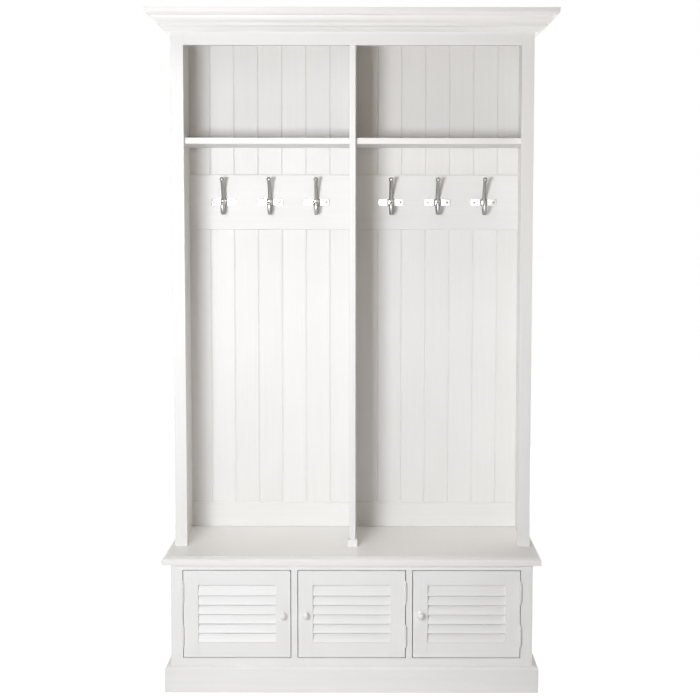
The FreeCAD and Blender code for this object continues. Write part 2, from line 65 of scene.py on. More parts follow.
# Places read from the frame
RAIL_LOW, RAIL_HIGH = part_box("hook_rail_left")
RAIL_FRONT = RAIL_LOW.y
HOOK_HEIGHT = (RAIL_LOW.z + RAIL_HIGH.z) / 2
DOORS = ("left", "centre", "right")
HOOK_COUNT = 6

# Cast double hooks; lines are (out from the rail, up from the plate's middle) in millimetres
PLATE_SIZE = (84.0, 22.0, 3.5)
PLATE_CORNER = 5.0
PLATE_EDGE = 1.2
PLATE_EASE = 0.35
BOSS_ROOT = 1.0
BOSS_WIDTH = 24.0
BOSS_RISE = 6.0
BOSS_TAPER = 4.0
BOSS_EDGE = 1.2
UPPER_LINE = ((5.0, 6.0), (28.0, 47.0), (58.0, 73.0))
UPPER_ROOT = (13.0, 9.0)
UPPER_TIP = (10.5, 6.5)
UPPER_BALL = 7.6
LOWER_LINE = ((6.0, -5.0), (8.0, -16.0), (50.0, -5.0))
LOWER_BEND = 21.0
LOWER_ROOT = (13.0, 9.0)
LOWER_TIP = (11.0, 7.5)
LOWER_BALL = 6.3
ARM_SIDES = 24
ARM_STEPS = 22
BEND_STEPS = 26
TIP_STEPS = 4
BALL_RINGS = 12
NECK_RINGS = 3
CORNER_STEPS = 6
PLATE_SCREWS = 63.0
HOOK_SCREW = ((3.6, 0.0), (3.6, 0.5), (3.3, 1.1), (2.4, 1.75), (1.2, 2.1), (0.0, 2.2))
HOOK_SLOT = (0.9, 0.9)
SCREW_SIDES = 32
SLOT_OVERSHOOT = 1.0

# Turned pieces as (radius, height) in millimetres
TURNED_SIDES = 48
KNOB_FOOT = ((8.5, 0.0), (8.5, 1.1), (8.1, 1.6), (6.6, 2.4), (5.6, 3.4), (4.9, 4.9), (4.6, 6.5))
KNOB_REACH = 28.0
KNOB_RADIUS = 11.0
KNOB_CROWN = 9.0
KNOB_RINGS = 18
FINIAL = ((3.5, 0.0), (3.7, 0.7), (3.5, 1.4), (2.5, 2.1), (2.2, 2.8), (2.7, 3.6), (3.3, 4.6),
          (3.2, 5.6), (2.4, 7.4), (1.5, 9.2), (0.9, 10.5), (0.0, 11.0))
PIN_RADIUS = 1.6
PIN_SIDES = 24
BARREL_LENGTH = 52.0
HINGE_INSET = 67.0

# Small steel fasteners in millimetres; the low heads clear the part that closes on them
LOW_HEAD = ((2.7, -0.3), (2.7, 0.0), (2.4, 0.06), (1.4, 0.09), (0.0, 0.1))
LOW_SLOT = (0.8, 0.09)
PAN_HEAD = ((4.2, -0.3), (4.2, 0.9), (3.9, 1.5), (3.0, 1.9), (1.5, 2.1), (0.0, 2.15))
PAN_SLOT = (1.1, 1.1)
LEAF_FACE = 0.15
LEAF_MIDDLE = 8.5
LEAF_SCREW_PITCH = 17.0
STRIKE_SCREW_SHARES = (0.2, 0.8)
POLE_SIZE = (1.3, 1.0, 34.0)
POLE_PROUD = 0.15
POLE_EDGE = 0.1
POLE_SPACING = 5.2
STRIKE_GAP = 0.4

# Finish colours, linear; a pair is the lighter and the darker tone
PAINT = (0.852, 0.845, 0.83)
PAINT_WARM = (0.812, 0.802, 0.782)
PAINT_WORN = (0.68, 0.65, 0.60)
# Hook nickel as painted reflection: the plate painted near white and the arms painted grey, lighter and
# darker copies of one metal
PLATE_NICKEL_PAINTED_LIGHT_REFLECTION = ((0.95, 0.945, 0.935), (0.89, 0.885, 0.875))
ARM_NICKEL_PAINTED_DARK_REFLECTION = ((0.50, 0.495, 0.485), (0.40, 0.395, 0.385))
# Painted shade: the darker nickel put into the hook's recesses
NICKEL_PAINTED_SHADE = (0.24, 0.235, 0.23)
NICKEL_GRAZING = (0.42, 0.415, 0.41, 1.0)
ENAMEL = ((0.80, 0.79, 0.77), (0.74, 0.73, 0.705))
BARE_METAL = (0.42, 0.40, 0.37)
PLASTIC = ((0.78, 0.775, 0.755), (0.73, 0.72, 0.69))
PLATED_STEEL = ((0.60, 0.595, 0.58), (0.50, 0.49, 0.47))
SCREW_STEEL = ((0.36, 0.355, 0.345), (0.26, 0.255, 0.245))

# Noise cells per metre along X, Y and Z, or across and along the grain
PAINT_GRAIN = (130.0, 3.0)
PAINT_BRUSH = (620.0, 9.0)
PAINT_CLOUD = (4.0, 4.0, 4.0)
PAINT_PATCHES = (55.0, 55.0, 55.0)
NICKEL_MARKS = (300.0, 300.0, 2600.0)
NICKEL_CLOUD = (60.0, 60.0, 60.0)
ENAMEL_SPECKLE = (900.0, 900.0, 900.0)
ENAMEL_CLOUD = (40.0, 40.0, 40.0)
PLASTIC_GRIT = (1500.0, 1500.0, 1500.0)
PLASTIC_CLOUD = (70.0, 70.0, 70.0)
STEEL_LINES = (3500.0, 3500.0, 120.0)
STEEL_CLOUD = (120.0, 120.0, 120.0)

# Roughness over the usual spread of a noise's values
NOISE_SPREAD = (0.25, 0.75)
PAINT_ROUGHNESS = (0.36, 0.50)
NICKEL_ROUGHNESS = (0.16, 0.28)
ARM_ROUGHER = 0.1
ENAMEL_ROUGHNESS = (0.30, 0.44)
PLASTIC_ROUGHNESS = (0.48, 0.62)
STEEL_ROUGHNESS = (0.24, 0.42)

# Bumps as (strength, depth)
PAINT_BUMP = (0.16, 0.5 * MM)
NICKEL_BUMP = (0.06, 0.1 * MM)
ENAMEL_BUMP = (0.10, 0.1 * MM)
PLASTIC_BUMP = (0.25, 0.1 * MM)
STEEL_BUMP = (0.12, 0.05 * MM)

# Tones, worn edges as (radius, cosine where wear is full, cosine where it ends) and their patches
GRAIN_SHARE = 0.55
CLOUD_SHARE = 0.45
TONE_SPREAD = (0.30, 0.75)
BOARD_TONE = 0.12
BRUSH_HEIGHT = 0.6
PAINT_WEAR = (1.6 * MM, 0.72, 0.97)
PAINT_WEAR_SPREAD = (0.48, 0.70)
PAINT_WEAR_MOST = 0.55
ENAMEL_WEAR = (0.5 * MM, 0.70, 0.96)
ENAMEL_WEAR_SPREAD = (0.52, 0.66)
ENAMEL_WEAR_MOST = 0.8
EDGE_SAMPLES = 4

# Painted reflection: the hook's arms are painted greyer than the plate from between these heights above the
# plate; painted shade darkens recesses within a reach
ARM_START = (1.2, 0.2)
PAINTED_SHADE_REACH = 9 * MM
PAINTED_SHADE_SPREAD = (0.35, 0.85)
PAINTED_SHADE_SAMPLES = 8


# Node helpers
def new_material(name):
    material = bpy.data.materials.new(name)
    material.use_nodes = True
    return material, material.node_tree, material.node_tree.nodes["Principled BSDF"]


def connect(tree, value, socket):
    """Links an output to a socket, or sets the socket to a plain value."""
    if isinstance(value, bpy.types.NodeSocket):
        tree.links.new(value, socket)
    else:
        socket.default_value = value


def add(tree, kind, inputs=(), **settings):
    """New node; inputs are (socket name or index, value or output) pairs."""
    node = tree.nodes.new(kind)
    for key, value in settings.items():
        setattr(node, key, value)
    for key, value in inputs:
        connect(tree, value, node.inputs[key])
    return node


def stretched_noise(tree, coordinates, scale, detail, distortion=0.0):
    """Noise whose cells have the given count per metre along each axis."""
    mapping = add(tree, "ShaderNodeMapping", (("Vector", coordinates), ("Scale", scale)))
    noise = add(tree, "ShaderNodeTexNoise", (("Vector", mapping.outputs["Vector"]), ("Scale", 1.0),
                                             ("Detail", detail), ("Distortion", distortion)))
    return noise.outputs["Fac"]


def remap(tree, value, low, high, to_low, to_high):
    node = add(tree, "ShaderNodeMapRange", (("Value", value), ("From Min", low), ("From Max", high),
                                            ("To Min", to_low), ("To Max", to_high)))
    return node.outputs["Result"]


def math_node(tree, operation, first, second):
    return add(tree, "ShaderNodeMath", ((0, first), (1, second)), operation=operation).outputs["Value"]


def mix_colour(tree, factor, first, second):
    node = add(tree, "ShaderNodeMix", (("Factor", factor),), data_type="RGBA")
    for value, socket in ((first, "A"), (second, "B")):
        linked = isinstance(value, bpy.types.NodeSocket)
        connect(tree, value if linked else (*value, 1.0), node.inputs[socket])
    return node.outputs["Result"]


def edge_mask(tree, radius, low, high):
    """1 on outer and inner edges within radius, 0 on flat faces."""
    rounded = add(tree, "ShaderNodeBevel", (("Radius", radius),), samples=EDGE_SAMPLES)
    true_normal = add(tree, "ShaderNodeNewGeometry").outputs["Normal"]
    cosine = add(tree, "ShaderNodeVectorMath", ((0, rounded.outputs["Normal"]), (1, true_normal)),
                 operation="DOT_PRODUCT").outputs["Value"]
    return remap(tree, cosine, low, high, 1.0, 0.0)


def bump(tree, height, strength, distance):
    node = add(tree, "ShaderNodeBump",
               (("Height", height), ("Strength", strength), ("Distance", distance)))
    return node.outputs["Normal"]


# Finishes
def along(axis, across, length):
    """Noise counts per metre for streaks that run along one axis."""
    return tuple(length if n == axis else across for n in range(3))


def painted(name, axis, boards=None):
    """Brushed satin paint over wood whose grain runs along an axis; boards are (first edge, pitch)."""
    material, tree, surface = new_material(name)
    place = add(tree, "ShaderNodeTexCoord").outputs["Object"]
    grain = stretched_noise(tree, place, along(axis, *PAINT_GRAIN), 5.0, 0.7)
    brush = stretched_noise(tree, place, along(axis, *PAINT_BRUSH), 3.0)
    cloud = stretched_noise(tree, place, PAINT_CLOUD, 2.0)
    grain_tone = math_node(tree, "MULTIPLY", grain, GRAIN_SHARE)
    tone = math_node(tree, "ADD", grain_tone, math_node(tree, "MULTIPLY", cloud, CLOUD_SHARE))
    if boards:
        first, pitch = boards
        x = add(tree, "ShaderNodeSeparateXYZ", ((0, place),)).outputs["X"]
        run = math_node(tree, "SUBTRACT", x, first)
        index = math_node(tree, "FLOOR", math_node(tree, "DIVIDE", run, pitch), 0.0)
        chance = add(tree, "ShaderNodeTexWhiteNoise", (("W", index),), noise_dimensions="1D").outputs["Value"]
        tone = math_node(tree, "ADD", tone, remap(tree, chance, 0.0, 1.0, -BOARD_TONE, BOARD_TONE))
    colour = mix_colour(tree, remap(tree, tone, *TONE_SPREAD, 0.0, 1.0), PAINT, PAINT_WARM)
    patches = stretched_noise(tree, place, PAINT_PATCHES, 4.0)
    amount = remap(tree, patches, *PAINT_WEAR_SPREAD, 0.0, PAINT_WEAR_MOST)
    wear = math_node(tree, "MULTIPLY", edge_mask(tree, *PAINT_WEAR), amount)
    colour = mix_colour(tree, wear, colour, PAINT_WORN)
    tree.links.new(colour, surface.inputs["Base Color"])
    tree.links.new(remap(tree, brush, *NOISE_SPREAD, *PAINT_ROUGHNESS), surface.inputs["Roughness"])
    height = math_node(tree, "ADD", grain, math_node(tree, "MULTIPLY", brush, BRUSH_HEIGHT))
    tree.links.new(bump(tree, height, *PAINT_BUMP), surface.inputs["Normal"])
    return material


def cast_metal():
    """Cast nickel: plates painted near white and arms painted greyer as painted reflection, painted shade
    darkening recesses, and fine polishing marks.
    """
    material, tree, surface = new_material("hook_nickel_painted_reflection_and_shade")
    surface.inputs["Metallic"].default_value = 1.0
    surface.inputs["Specular Tint"].default_value = NICKEL_GRAZING
    place = add(tree, "ShaderNodeTexCoord").outputs["Object"]
    depth = add(tree, "ShaderNodeSeparateXYZ", ((0, place),)).outputs["Y"]
    far, near = (-(PLATE_SIZE[2] + rise) * MM for rise in ARM_START)
    arms = remap(tree, depth, far, near, 1.0, 0.0)
    marks = stretched_noise(tree, place, NICKEL_MARKS, 4.0, 0.4)
    cloud = stretched_noise(tree, place, NICKEL_CLOUD, 3.0)
    # Painted shade: ambient occlusion darkens the nickel in recesses and at the arms' roots
    occlusion = add(tree, "ShaderNodeAmbientOcclusion", (("Distance", PAINTED_SHADE_REACH),),
                  samples=PAINTED_SHADE_SAMPLES).outputs["AO"]
    painted_shade = remap(tree, occlusion, *PAINTED_SHADE_SPREAD, 1.0, 0.0)
    # Painted reflection: the plate is painted near white and the arms grey, one metal in two tones by place
    plate_painted_light_reflection = mix_colour(tree, cloud, *PLATE_NICKEL_PAINTED_LIGHT_REFLECTION)
    arm_painted_dark_reflection = mix_colour(tree, cloud, *ARM_NICKEL_PAINTED_DARK_REFLECTION)
    colour = mix_colour(tree, arms, plate_painted_light_reflection, arm_painted_dark_reflection)
    colour = mix_colour(tree, painted_shade, colour, NICKEL_PAINTED_SHADE)
    tree.links.new(colour, surface.inputs["Base Color"])
    polish = remap(tree, marks, *NOISE_SPREAD, *NICKEL_ROUGHNESS)
    rough = math_node(tree, "ADD", polish, math_node(tree, "MULTIPLY", arms, ARM_ROUGHER))
    tree.links.new(rough, surface.inputs["Roughness"])
    tree.links.new(bump(tree, marks, *NICKEL_BUMP), surface.inputs["Normal"])
    return material


def enamelled_metal():
    """White paint on small hinges, rubbed through to the metal on its edges."""
    material, tree, surface = new_material("hinge_enamel")
    place = add(tree, "ShaderNodeTexCoord").outputs["Object"]
    speckle = stretched_noise(tree, place, ENAMEL_SPECKLE, 4.0)
    cloud = stretched_noise(tree, place, ENAMEL_CLOUD, 2.0)
    amount = remap(tree, speckle, *ENAMEL_WEAR_SPREAD, 0.0, ENAMEL_WEAR_MOST)
    rubbed = math_node(tree, "MULTIPLY", edge_mask(tree, *ENAMEL_WEAR), amount)
    colour = mix_colour(tree, cloud, *ENAMEL)
    colour = mix_colour(tree, rubbed, colour, BARE_METAL)
    tree.links.new(colour, surface.inputs["Base Color"])
    tree.links.new(rubbed, surface.inputs["Metallic"])
    rough = remap(tree, speckle, *NOISE_SPREAD, *ENAMEL_ROUGHNESS)
    tree.links.new(rough, surface.inputs["Roughness"])
    tree.links.new(bump(tree, speckle, *ENAMEL_BUMP), surface.inputs["Normal"])
    return material


def moulded_plastic():
    """Off-white plastic with a fine moulded grit."""
    material, tree, surface = new_material("catch_plastic_white")
    place = add(tree, "ShaderNodeTexCoord").outputs["Object"]
    grit = stretched_noise(tree, place, PLASTIC_GRIT, 3.0)
    cloud = stretched_noise(tree, place, PLASTIC_CLOUD, 2.0)
    colour = mix_colour(tree, cloud, *PLASTIC)
    tree.links.new(colour, surface.inputs["Base Color"])
    rough = remap(tree, grit, *NOISE_SPREAD, *PLASTIC_ROUGHNESS)
    tree.links.new(rough, surface.inputs["Roughness"])
    tree.links.new(bump(tree, grit, *PLASTIC_BUMP), surface.inputs["Normal"])
    return material


def brushed_steel(name, light, dark):
    """Plated steel with fine brushed lines, between two tones."""
    material, tree, surface = new_material(name)
    surface.inputs["Metallic"].default_value = 1.0
    place = add(tree, "ShaderNodeTexCoord").outputs["Object"]
    lines = stretched_noise(tree, place, STEEL_LINES, 3.0)
    cloud = stretched_noise(tree, place, STEEL_CLOUD, 3.0)
    colour = mix_colour(tree, cloud, light, dark)
    tree.links.new(colour, surface.inputs["Base Color"])
    rough = remap(tree, lines, *NOISE_SPREAD, *STEEL_ROUGHNESS)
    tree.links.new(rough, surface.inputs["Roughness"])
    tree.links.new(bump(tree, lines, *STEEL_BUMP), surface.inputs["Normal"])
    return material


# Mesh helpers
def ring(centre, first, second, sides):
    """Points on the oval with these two half axes."""
    turns = [2 * math.pi * n / sides for n in range(sides)]
    return [centre + first * math.cos(turn) + second * math.sin(turn) for turn in turns]


def skin(bm, rings):
    """Closed tube through rings of points; a ring of one point is a tip."""
    rows = [[bm.verts.new(point) for point in points] for points in rings]
    for low, high in zip(rows, rows[1:]):
        count = max(len(low), len(high))
        for n in range(count):
            after = n + 1
            corners = [low[n % len(low)], low[after % len(low)], high[after % len(high)], high[n % len(high)]]
            bm.faces.new(list(dict.fromkeys(corners)))
    for row in (rows[0], rows[-1]):
        if len(row) > 1:
            bm.faces.new(row)
    bmesh.ops.recalc_face_normals(bm, faces=bm.faces)


def turned_rings(profile, base, axis, sides):
    """Rings of a turned piece in millimetres round the axis through base."""
    first = axis.orthogonal().normalized()
    second = axis.cross(first)
    rings = []
    for radius, height in profile:
        centre = base + axis * (height * MM)
        if radius:
            rings.append(ring(centre, first * (radius * MM), second * (radius * MM), sides))
        else:
            rings.append([centre])
    return rings


def mesh_of(name, bm):
    mesh = bpy.data.meshes.new(name)
    bm.to_mesh(mesh)
    bm.free()
    return mesh


def shade(mesh, angle=SMOOTH_ANGLE):
    mesh.shade_smooth()
    mesh.set_sharp_from_angle(angle=angle)


def place_piece(name, mesh, material, body, location=(0, 0, 0), turn=None):
    """New object of the hall tree that rides on a body."""
    if not mesh.materials:
        mesh.materials.append(material)
    piece = bpy.data.objects.new(name, mesh)
    bpy.context.scene.collection.objects.link(piece)
    piece.matrix_world = Matrix.Translation(location) @ (turn or Matrix.Identity(4))
    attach(piece, body)
    return piece


def combined(name, base, others, operation):
    """Mesh of a closed mesh joined with, or cut by, other closed meshes."""
    helpers = [bpy.data.objects.new(name + "_helper", mesh) for mesh in (base, *others)]
    for helper in helpers:
        bpy.context.scene.collection.objects.link(helper)
    for helper in helpers[1:]:
        modifier = helpers[0].modifiers.new("combine", "BOOLEAN")
        modifier.operation = operation
        modifier.solver = "EXACT"
        modifier.object = helper
    depsgraph = bpy.context.evaluated_depsgraph_get()
    result = bpy.data.meshes.new_from_object(helpers[0].evaluated_get(depsgraph), depsgraph=depsgraph)
    result.name = name
    for helper in helpers:
        mesh = helper.data
        bpy.data.objects.remove(helper)
        bpy.data.meshes.remove(mesh)
    return result


def bevelled(bm, width, segments):
    """Rounds the edges of a mesh whose faces meet at an angle."""
    sharp = [edge for edge in bm.edges if edge.calc_face_angle(0.0) > BEVEL_ANGLE]
    bmesh.ops.bevel(bm, geom=sharp, offset=width, segments=segments, profile=0.5, affect="EDGES",
                    clamp_overlap=True)


# Coat hooks, modelled round the middle of the plate's back: X across, Y out of the rail as minus, Z up
def hook_point(out, up):
    return Vector((0.0, -out, up)) * MM


def arm_ring(out, up, heading, width, thick):
    """Oval across an arm that runs along heading, measured from straight up towards the front."""
    across = Vector((0.0, math.cos(heading), math.sin(heading)))
    return ring(hook_point(out, up), Vector((width / 2 * MM, 0, 0)), across * (thick / 2 * MM), ARM_SIDES)


def arm_mesh(name, stations, root, tip, ball):
    """Tapered arm through (out, up, heading) stations, which swells into a ball at the last one."""
    lengths = [0.0]
    for a, b in zip(stations, stations[1:]):
        lengths.append(lengths[-1] + math.hypot(b[0] - a[0], b[1] - a[1]))
    neck = math.sqrt(ball ** 2 - (tip[1] / 2) ** 2)
    rings = []
    for (out, up, heading), run in zip(stations, lengths):
        if lengths[-1] - run < neck:
            break
        share = run / lengths[-1]
        rings.append(arm_ring(out, up, heading, *(a + (b - a) * share for a, b in zip(root, tip))))
    out, up, heading = stations[-1]
    start = math.asin(tip[1] / 2 / ball)
    for n in range(BALL_RINGS):
        angle = start + (math.pi - start) * n / BALL_RINGS
        along_arm = -ball * math.cos(angle)
        radius = ball * math.sin(angle)
        wide = radius + (tip[0] - tip[1]) / 2 * max(0.0, 1 - n / NECK_RINGS)
        ring_out = out + along_arm * math.sin(heading)
        ring_up = up + along_arm * math.cos(heading)
        rings.append(arm_ring(ring_out, ring_up, heading, 2 * wide, 2 * radius))
    rings.append([hook_point(out + ball * math.sin(heading), up + ball * math.cos(heading))])
    bm = bmesh.new()
    skin(bm, rings)
    return mesh_of(name, bm)


def upper_stations():
    p0, p1, p2 = UPPER_LINE
    stations = []
    for step in range(ARM_STEPS + 1):
        t = step / ARM_STEPS
        out, up = ((1 - t) ** 2 * a + 2 * t * (1 - t) * b + t * t * c for a, b, c in zip(p0, p1, p2))
        run, climb = ((1 - t) * (b - a) + t * (c - b) for a, b, c in zip(p0, p1, p2))
        stations.append((out, up, math.atan2(run, climb)))
    return stations


def lower_stations():
    root, bend, tip = LOWER_LINE
    stations = [(root[0], root[1], math.pi)]
    for step in range(BEND_STEPS + 1):
        turn = math.pi * step / BEND_STEPS
        out = bend[0] + LOWER_BEND * (1 - math.cos(turn))
        stations.append((out, bend[1] - LOWER_BEND * math.sin(turn), math.pi - turn))
    rise = tip[1] - bend[1]
    stations += [(tip[0], bend[1] + rise * step / TIP_STEPS, 0.0) for step in range(1, TIP_STEPS + 1)]
    return stations


def plate_mesh():
    """Back plate with round corners and an eased edge."""
    width, height, thick = PLATE_SIZE
    corners = []
    for n, (x, z) in enumerate(SQUARE):
        middle = Vector((x * (width / 2 - PLATE_CORNER), 0, z * (height / 2 - PLATE_CORNER)))
        for step in range(CORNER_STEPS + 1):
            turn = math.pi / 2 * (n + step / CORNER_STEPS)
            corners.append(middle + Vector((math.cos(turn), 0, math.sin(turn))) * PLATE_CORNER)
    rings = []
    shoulder = (thick - PLATE_EASE * PLATE_EDGE, PLATE_EASE)
    for out, inset in ((0, 0), (thick - PLATE_EDGE, 0), shoulder, (thick, PLATE_EDGE)):
        shrink = Vector((1 - 2 * inset / width, 1, 1 - 2 * inset / height))
        rings.append([(corner * shrink + Vector((0, -out, 0))) * MM for corner in corners])
    bm = bmesh.new()
    skin(bm, rings)
    return mesh_of("hook_plate", bm)


def boss_mesh():
    """Tapered block in the middle of the plate, with rounded edges."""
    height = PLATE_SIZE[1]
    rings = []
    for out, shrink in ((BOSS_ROOT, 0.0), (PLATE_SIZE[2], 0.0), (PLATE_SIZE[2] + BOSS_RISE, BOSS_TAPER)):
        x = (BOSS_WIDTH / 2 - shrink) * MM
        z = (height / 2 - shrink) * MM
        rings.append([Vector((a * x, -out * MM, b * z)) for a, b in SQUARE])
    bm = bmesh.new()
    skin(bm, rings)
    bevelled(bm, BOSS_EDGE * MM, EDGE_STEPS)
    return mesh_of("hook_boss", bm)


def slotted_screw(name, profile, slot_width, slot_depth):
    """Domed screw head with a slot, along +Z."""
    bm = bmesh.new()
    skin(bm, turned_rings(profile, Vector(), Vector((0, 0, 1)), SCREW_SIDES))
    head = mesh_of(name + "_head", bm)
    top = max(height for radius, height in profile)
    reach = max(radius for radius, height in profile) + SLOT_OVERSHOOT
    bm = bmesh.new()
    rings = []
    for z in (top - slot_depth, top + SLOT_OVERSHOOT):
        rings.append([Vector((x * slot_width / 2, y * reach, z)) * MM for x, y in SQUARE])
    skin(bm, rings)
    return combined(name, head, [mesh_of(name + "_slot", bm)], "DIFFERENCE")


def coat_hooks(metal, steel):
    upper = arm_mesh("upper_arm", upper_stations(), UPPER_ROOT, UPPER_TIP, UPPER_BALL)
    lower = arm_mesh("lower_arm", lower_stations(), LOWER_ROOT, LOWER_TIP, LOWER_BALL)
    hook = combined("cast_hook", plate_mesh(), [boss_mesh(), upper, lower], "UNION")
    shade(hook, HOOK_SMOOTH_ANGLE)
    screw = slotted_screw("hook_screw", HOOK_SCREW, *HOOK_SLOT)
    shade(screw)
    chance = random.Random(HOOK_SCREW_SEED)
    to_front = Matrix.Rotation(math.pi / 2, 4, "X")
    for number in range(1, HOOK_COUNT + 1):
        node = "coat_hook_%d" % number
        low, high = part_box(node)
        middle = Vector(((low.x + high.x) / 2, RAIL_FRONT, HOOK_HEIGHT))
        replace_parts(place_piece("cast_hook_%d" % number, hook, metal, "stand", middle), node)
        for side, label in ((-1, "left"), (1, "right")):
            seat = middle + Vector((side * PLATE_SCREWS / 2, -PLATE_SIZE[2], 0)) * MM
            turn = to_front @ Matrix.Rotation(chance.uniform(0, math.pi), 4, "Z")
            place_piece("hook_screw_%d_%s" % (number, label), screw, steel, "stand", seat, turn)


# Turned knobs and hinge pins
def knob_profile():
    start = math.asin(KNOB_FOOT[-1][0] / KNOB_RADIUS)
    centre = KNOB_REACH - KNOB_CROWN
    angles = [start + (math.pi - start) * n / KNOB_RINGS for n in range(1, KNOB_RINGS)]
    ball = [(KNOB_RADIUS * math.sin(angle), centre - KNOB_CROWN * math.cos(angle)) for angle in angles]
    return [*KNOB_FOOT, *ball, (0.0, KNOB_REACH)]


def knobs(paint):
    for door in DOORS:
        node = "door_%s_knob" % door
        low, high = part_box(node)
        bm = bmesh.new()
        base = Vector(((low.x + high.x) / 2, high.y, (low.z + high.z) / 2))
        skin(bm, turned_rings(knob_profile(), base, Vector((0, -1, 0)), TURNED_SIDES))
        mesh = mesh_of("turned_knob_" + door, bm)
        shade(mesh)
        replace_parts(place_piece("turned_knob_" + door, mesh, paint, "door_" + door), node)


def hinge_points():
    """Middle of each hinge's barrel."""
    points = []
    for joint in frame["joints"]:
        low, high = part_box(joint["child"] + "_stiles")
        x, y, _ = joint["pos_m"]
        points += [Vector((x, y, low.z + HINGE_INSET * MM)), Vector((x, y, high.z - HINGE_INSET * MM))]
    return points


def hinge_pins(enamel):
    half = BARREL_LENGTH / 2
    profile = [(radius, -half - height) for radius, height in reversed(FINIAL)]
    profile += [(PIN_RADIUS, -half), (PIN_RADIUS, half)]
    profile += [(radius, half + height) for radius, height in FINIAL]
    bm = bmesh.new()
    for point in hinge_points():
        skin(bm, turned_rings(profile, point, Vector((0, 0, 1)), PIN_SIDES))
    mesh = mesh_of("finial_pins", bm)
    shade(mesh)
    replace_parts(place_piece("finial_pins", mesh, enamel, "stand"), "hinge_pins")


# Small steel fasteners
def facing(axis, spin):
    """Turn that takes +Z to an axis, after a spin round it."""
    return axis.to_track_quat("Z", "Y").to_matrix().to_4x4() @ Matrix.Rotation(spin, 4, "Z")


def joined_copies(name, mesh, places):
    """One mesh of copies of a mesh, each moved by a matrix."""
    bm = bmesh.new()
    for place in places:
        copy = mesh.copy()
        copy.transform(place)
        bm.from_mesh(copy)
        bpy.data.meshes.remove(copy)
    joined = mesh_of(name, bm)
    shade(joined)
    return joined


def hinge_screws(steel):
    """Three flat screw heads in each hinge leaf, on the faces that meet when a door shuts."""
    head = slotted_screw("low_screw", LOW_HEAD, *LOW_SLOT)
    chance = random.Random(HINGE_SCREW_SEED)
    fixed = []
    for joint in frame["joints"]:
        door = joint["child"]
        low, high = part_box(door + "_stiles")
        x, _, _ = joint["pos_m"]
        side = 1 if x > (low.x + high.x) / 2 else -1
        moving = []
        for middle in (low.z + HINGE_INSET * MM, high.z - HINGE_INSET * MM):
            for step in (-1, 0, 1):
                for places, outward in ((fixed, side), (moving, -side)):
                    seat = Vector((x + outward * LEAF_FACE * MM, low.y + LEAF_MIDDLE * MM,
                                   middle + step * LEAF_SCREW_PITCH * MM))
                    turn = facing(Vector((-outward, 0, 0)), chance.uniform(0, math.pi))
                    places.append(Matrix.Translation(seat) @ turn)
        name = "hinge_screws_" + door
        place_piece(name, joined_copies(name, head, moving), steel, door)
    name = "hinge_screws_frame"
    place_piece(name, joined_copies(name, head, fixed), steel, "stand")


def door_fasteners(steel):
    """Knob screw and strike screws on the back of each door."""
    pan_head = slotted_screw("pan_screw", PAN_HEAD, *PAN_SLOT)
    low_head = slotted_screw("strike_screw", LOW_HEAD, *LOW_SLOT)
    chance = random.Random(DOOR_SCREW_SEED)

    def seated(seat):
        return Matrix.Translation(seat) @ facing(Vector((0, 1, 0)), chance.uniform(0, math.pi))

    for door in DOORS:
        body = "door_" + door
        low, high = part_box(body + "_knob")
        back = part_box(body + "_stiles")[1].y
        knob_screw = seated(Vector(((low.x + high.x) / 2, back, (low.z + high.z) / 2)))
        low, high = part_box(body + "_strike")
        strike_screws = []
        for share in STRIKE_SCREW_SHARES:
            seat = Vector(((low.x + high.x) / 2, high.y, low.z + (high.z - low.z) * share))
            strike_screws.append(seated(seat))
        name = "knob_screw_" + door
        place_piece(name, joined_copies(name, pan_head, [knob_screw]), steel, body)
        name = "strike_screws_" + door
        place_piece(name, joined_copies(name, low_head, strike_screws), steel, body)


def catch_poles(steel):
    """Two steel pole plates in the face of each magnet catch."""
    bm = bmesh.new()
    for door in DOORS:
        low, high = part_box("door_%s_strike" % door)
        face = high.y + (STRIKE_GAP - POLE_PROUD) * MM
        for side in (-1, 1):
            x = (low.x + high.x) / 2 + side * POLE_SPACING / 2 * MM
            middle = Vector((x, face, (low.z + high.z) / 2))
            rings = []
            for depth, inset in ((POLE_SIZE[1], 0.0), (POLE_EDGE, 0.0), (0.0, POLE_EDGE)):
                half_x = (POLE_SIZE[0] / 2 - inset) * MM
                half_z = (POLE_SIZE[2] / 2 - inset) * MM
                rings.append([middle + Vector((a * half_x, depth * MM, b * half_z)) for a, b in SQUARE])
            skin(bm, rings)
    place_piece("catch_poles", mesh_of("catch_poles", bm), steel, "stand")


# Finish of the frame's own nodes; widths and reach in millimetres
WELD_REACH = 0.01
UPRIGHT = ("base_side_left", "base_side_right", "base_divider_left", "base_divider_right",
           "frame_stile_left", "frame_stile_right", "frame_mullions", "hutch_side_left", "hutch_side_right",
           "hutch_stile_left", "hutch_stile_right", "hutch_partition", "door_left_stiles",
           "door_centre_stiles", "door_right_stiles")
DEEP = ("plinth_left", "plinth_right", "cornice_left", "cornice_right", "partition_foot")
EASED = {"hutch_stile_left": 1.2, "hutch_stile_right": 1.2, "hutch_partition": 1.2, "shelf_left": 1.2,
         "shelf_right": 1.2, "bench_top": 0.8}
PLAIN_EDGE = 0.35
HINGE_EDGE = 0.12
STRIKE_EDGE = 0.15
CATCH_EDGE = 0.5
SLAT_EDGE = 0.6


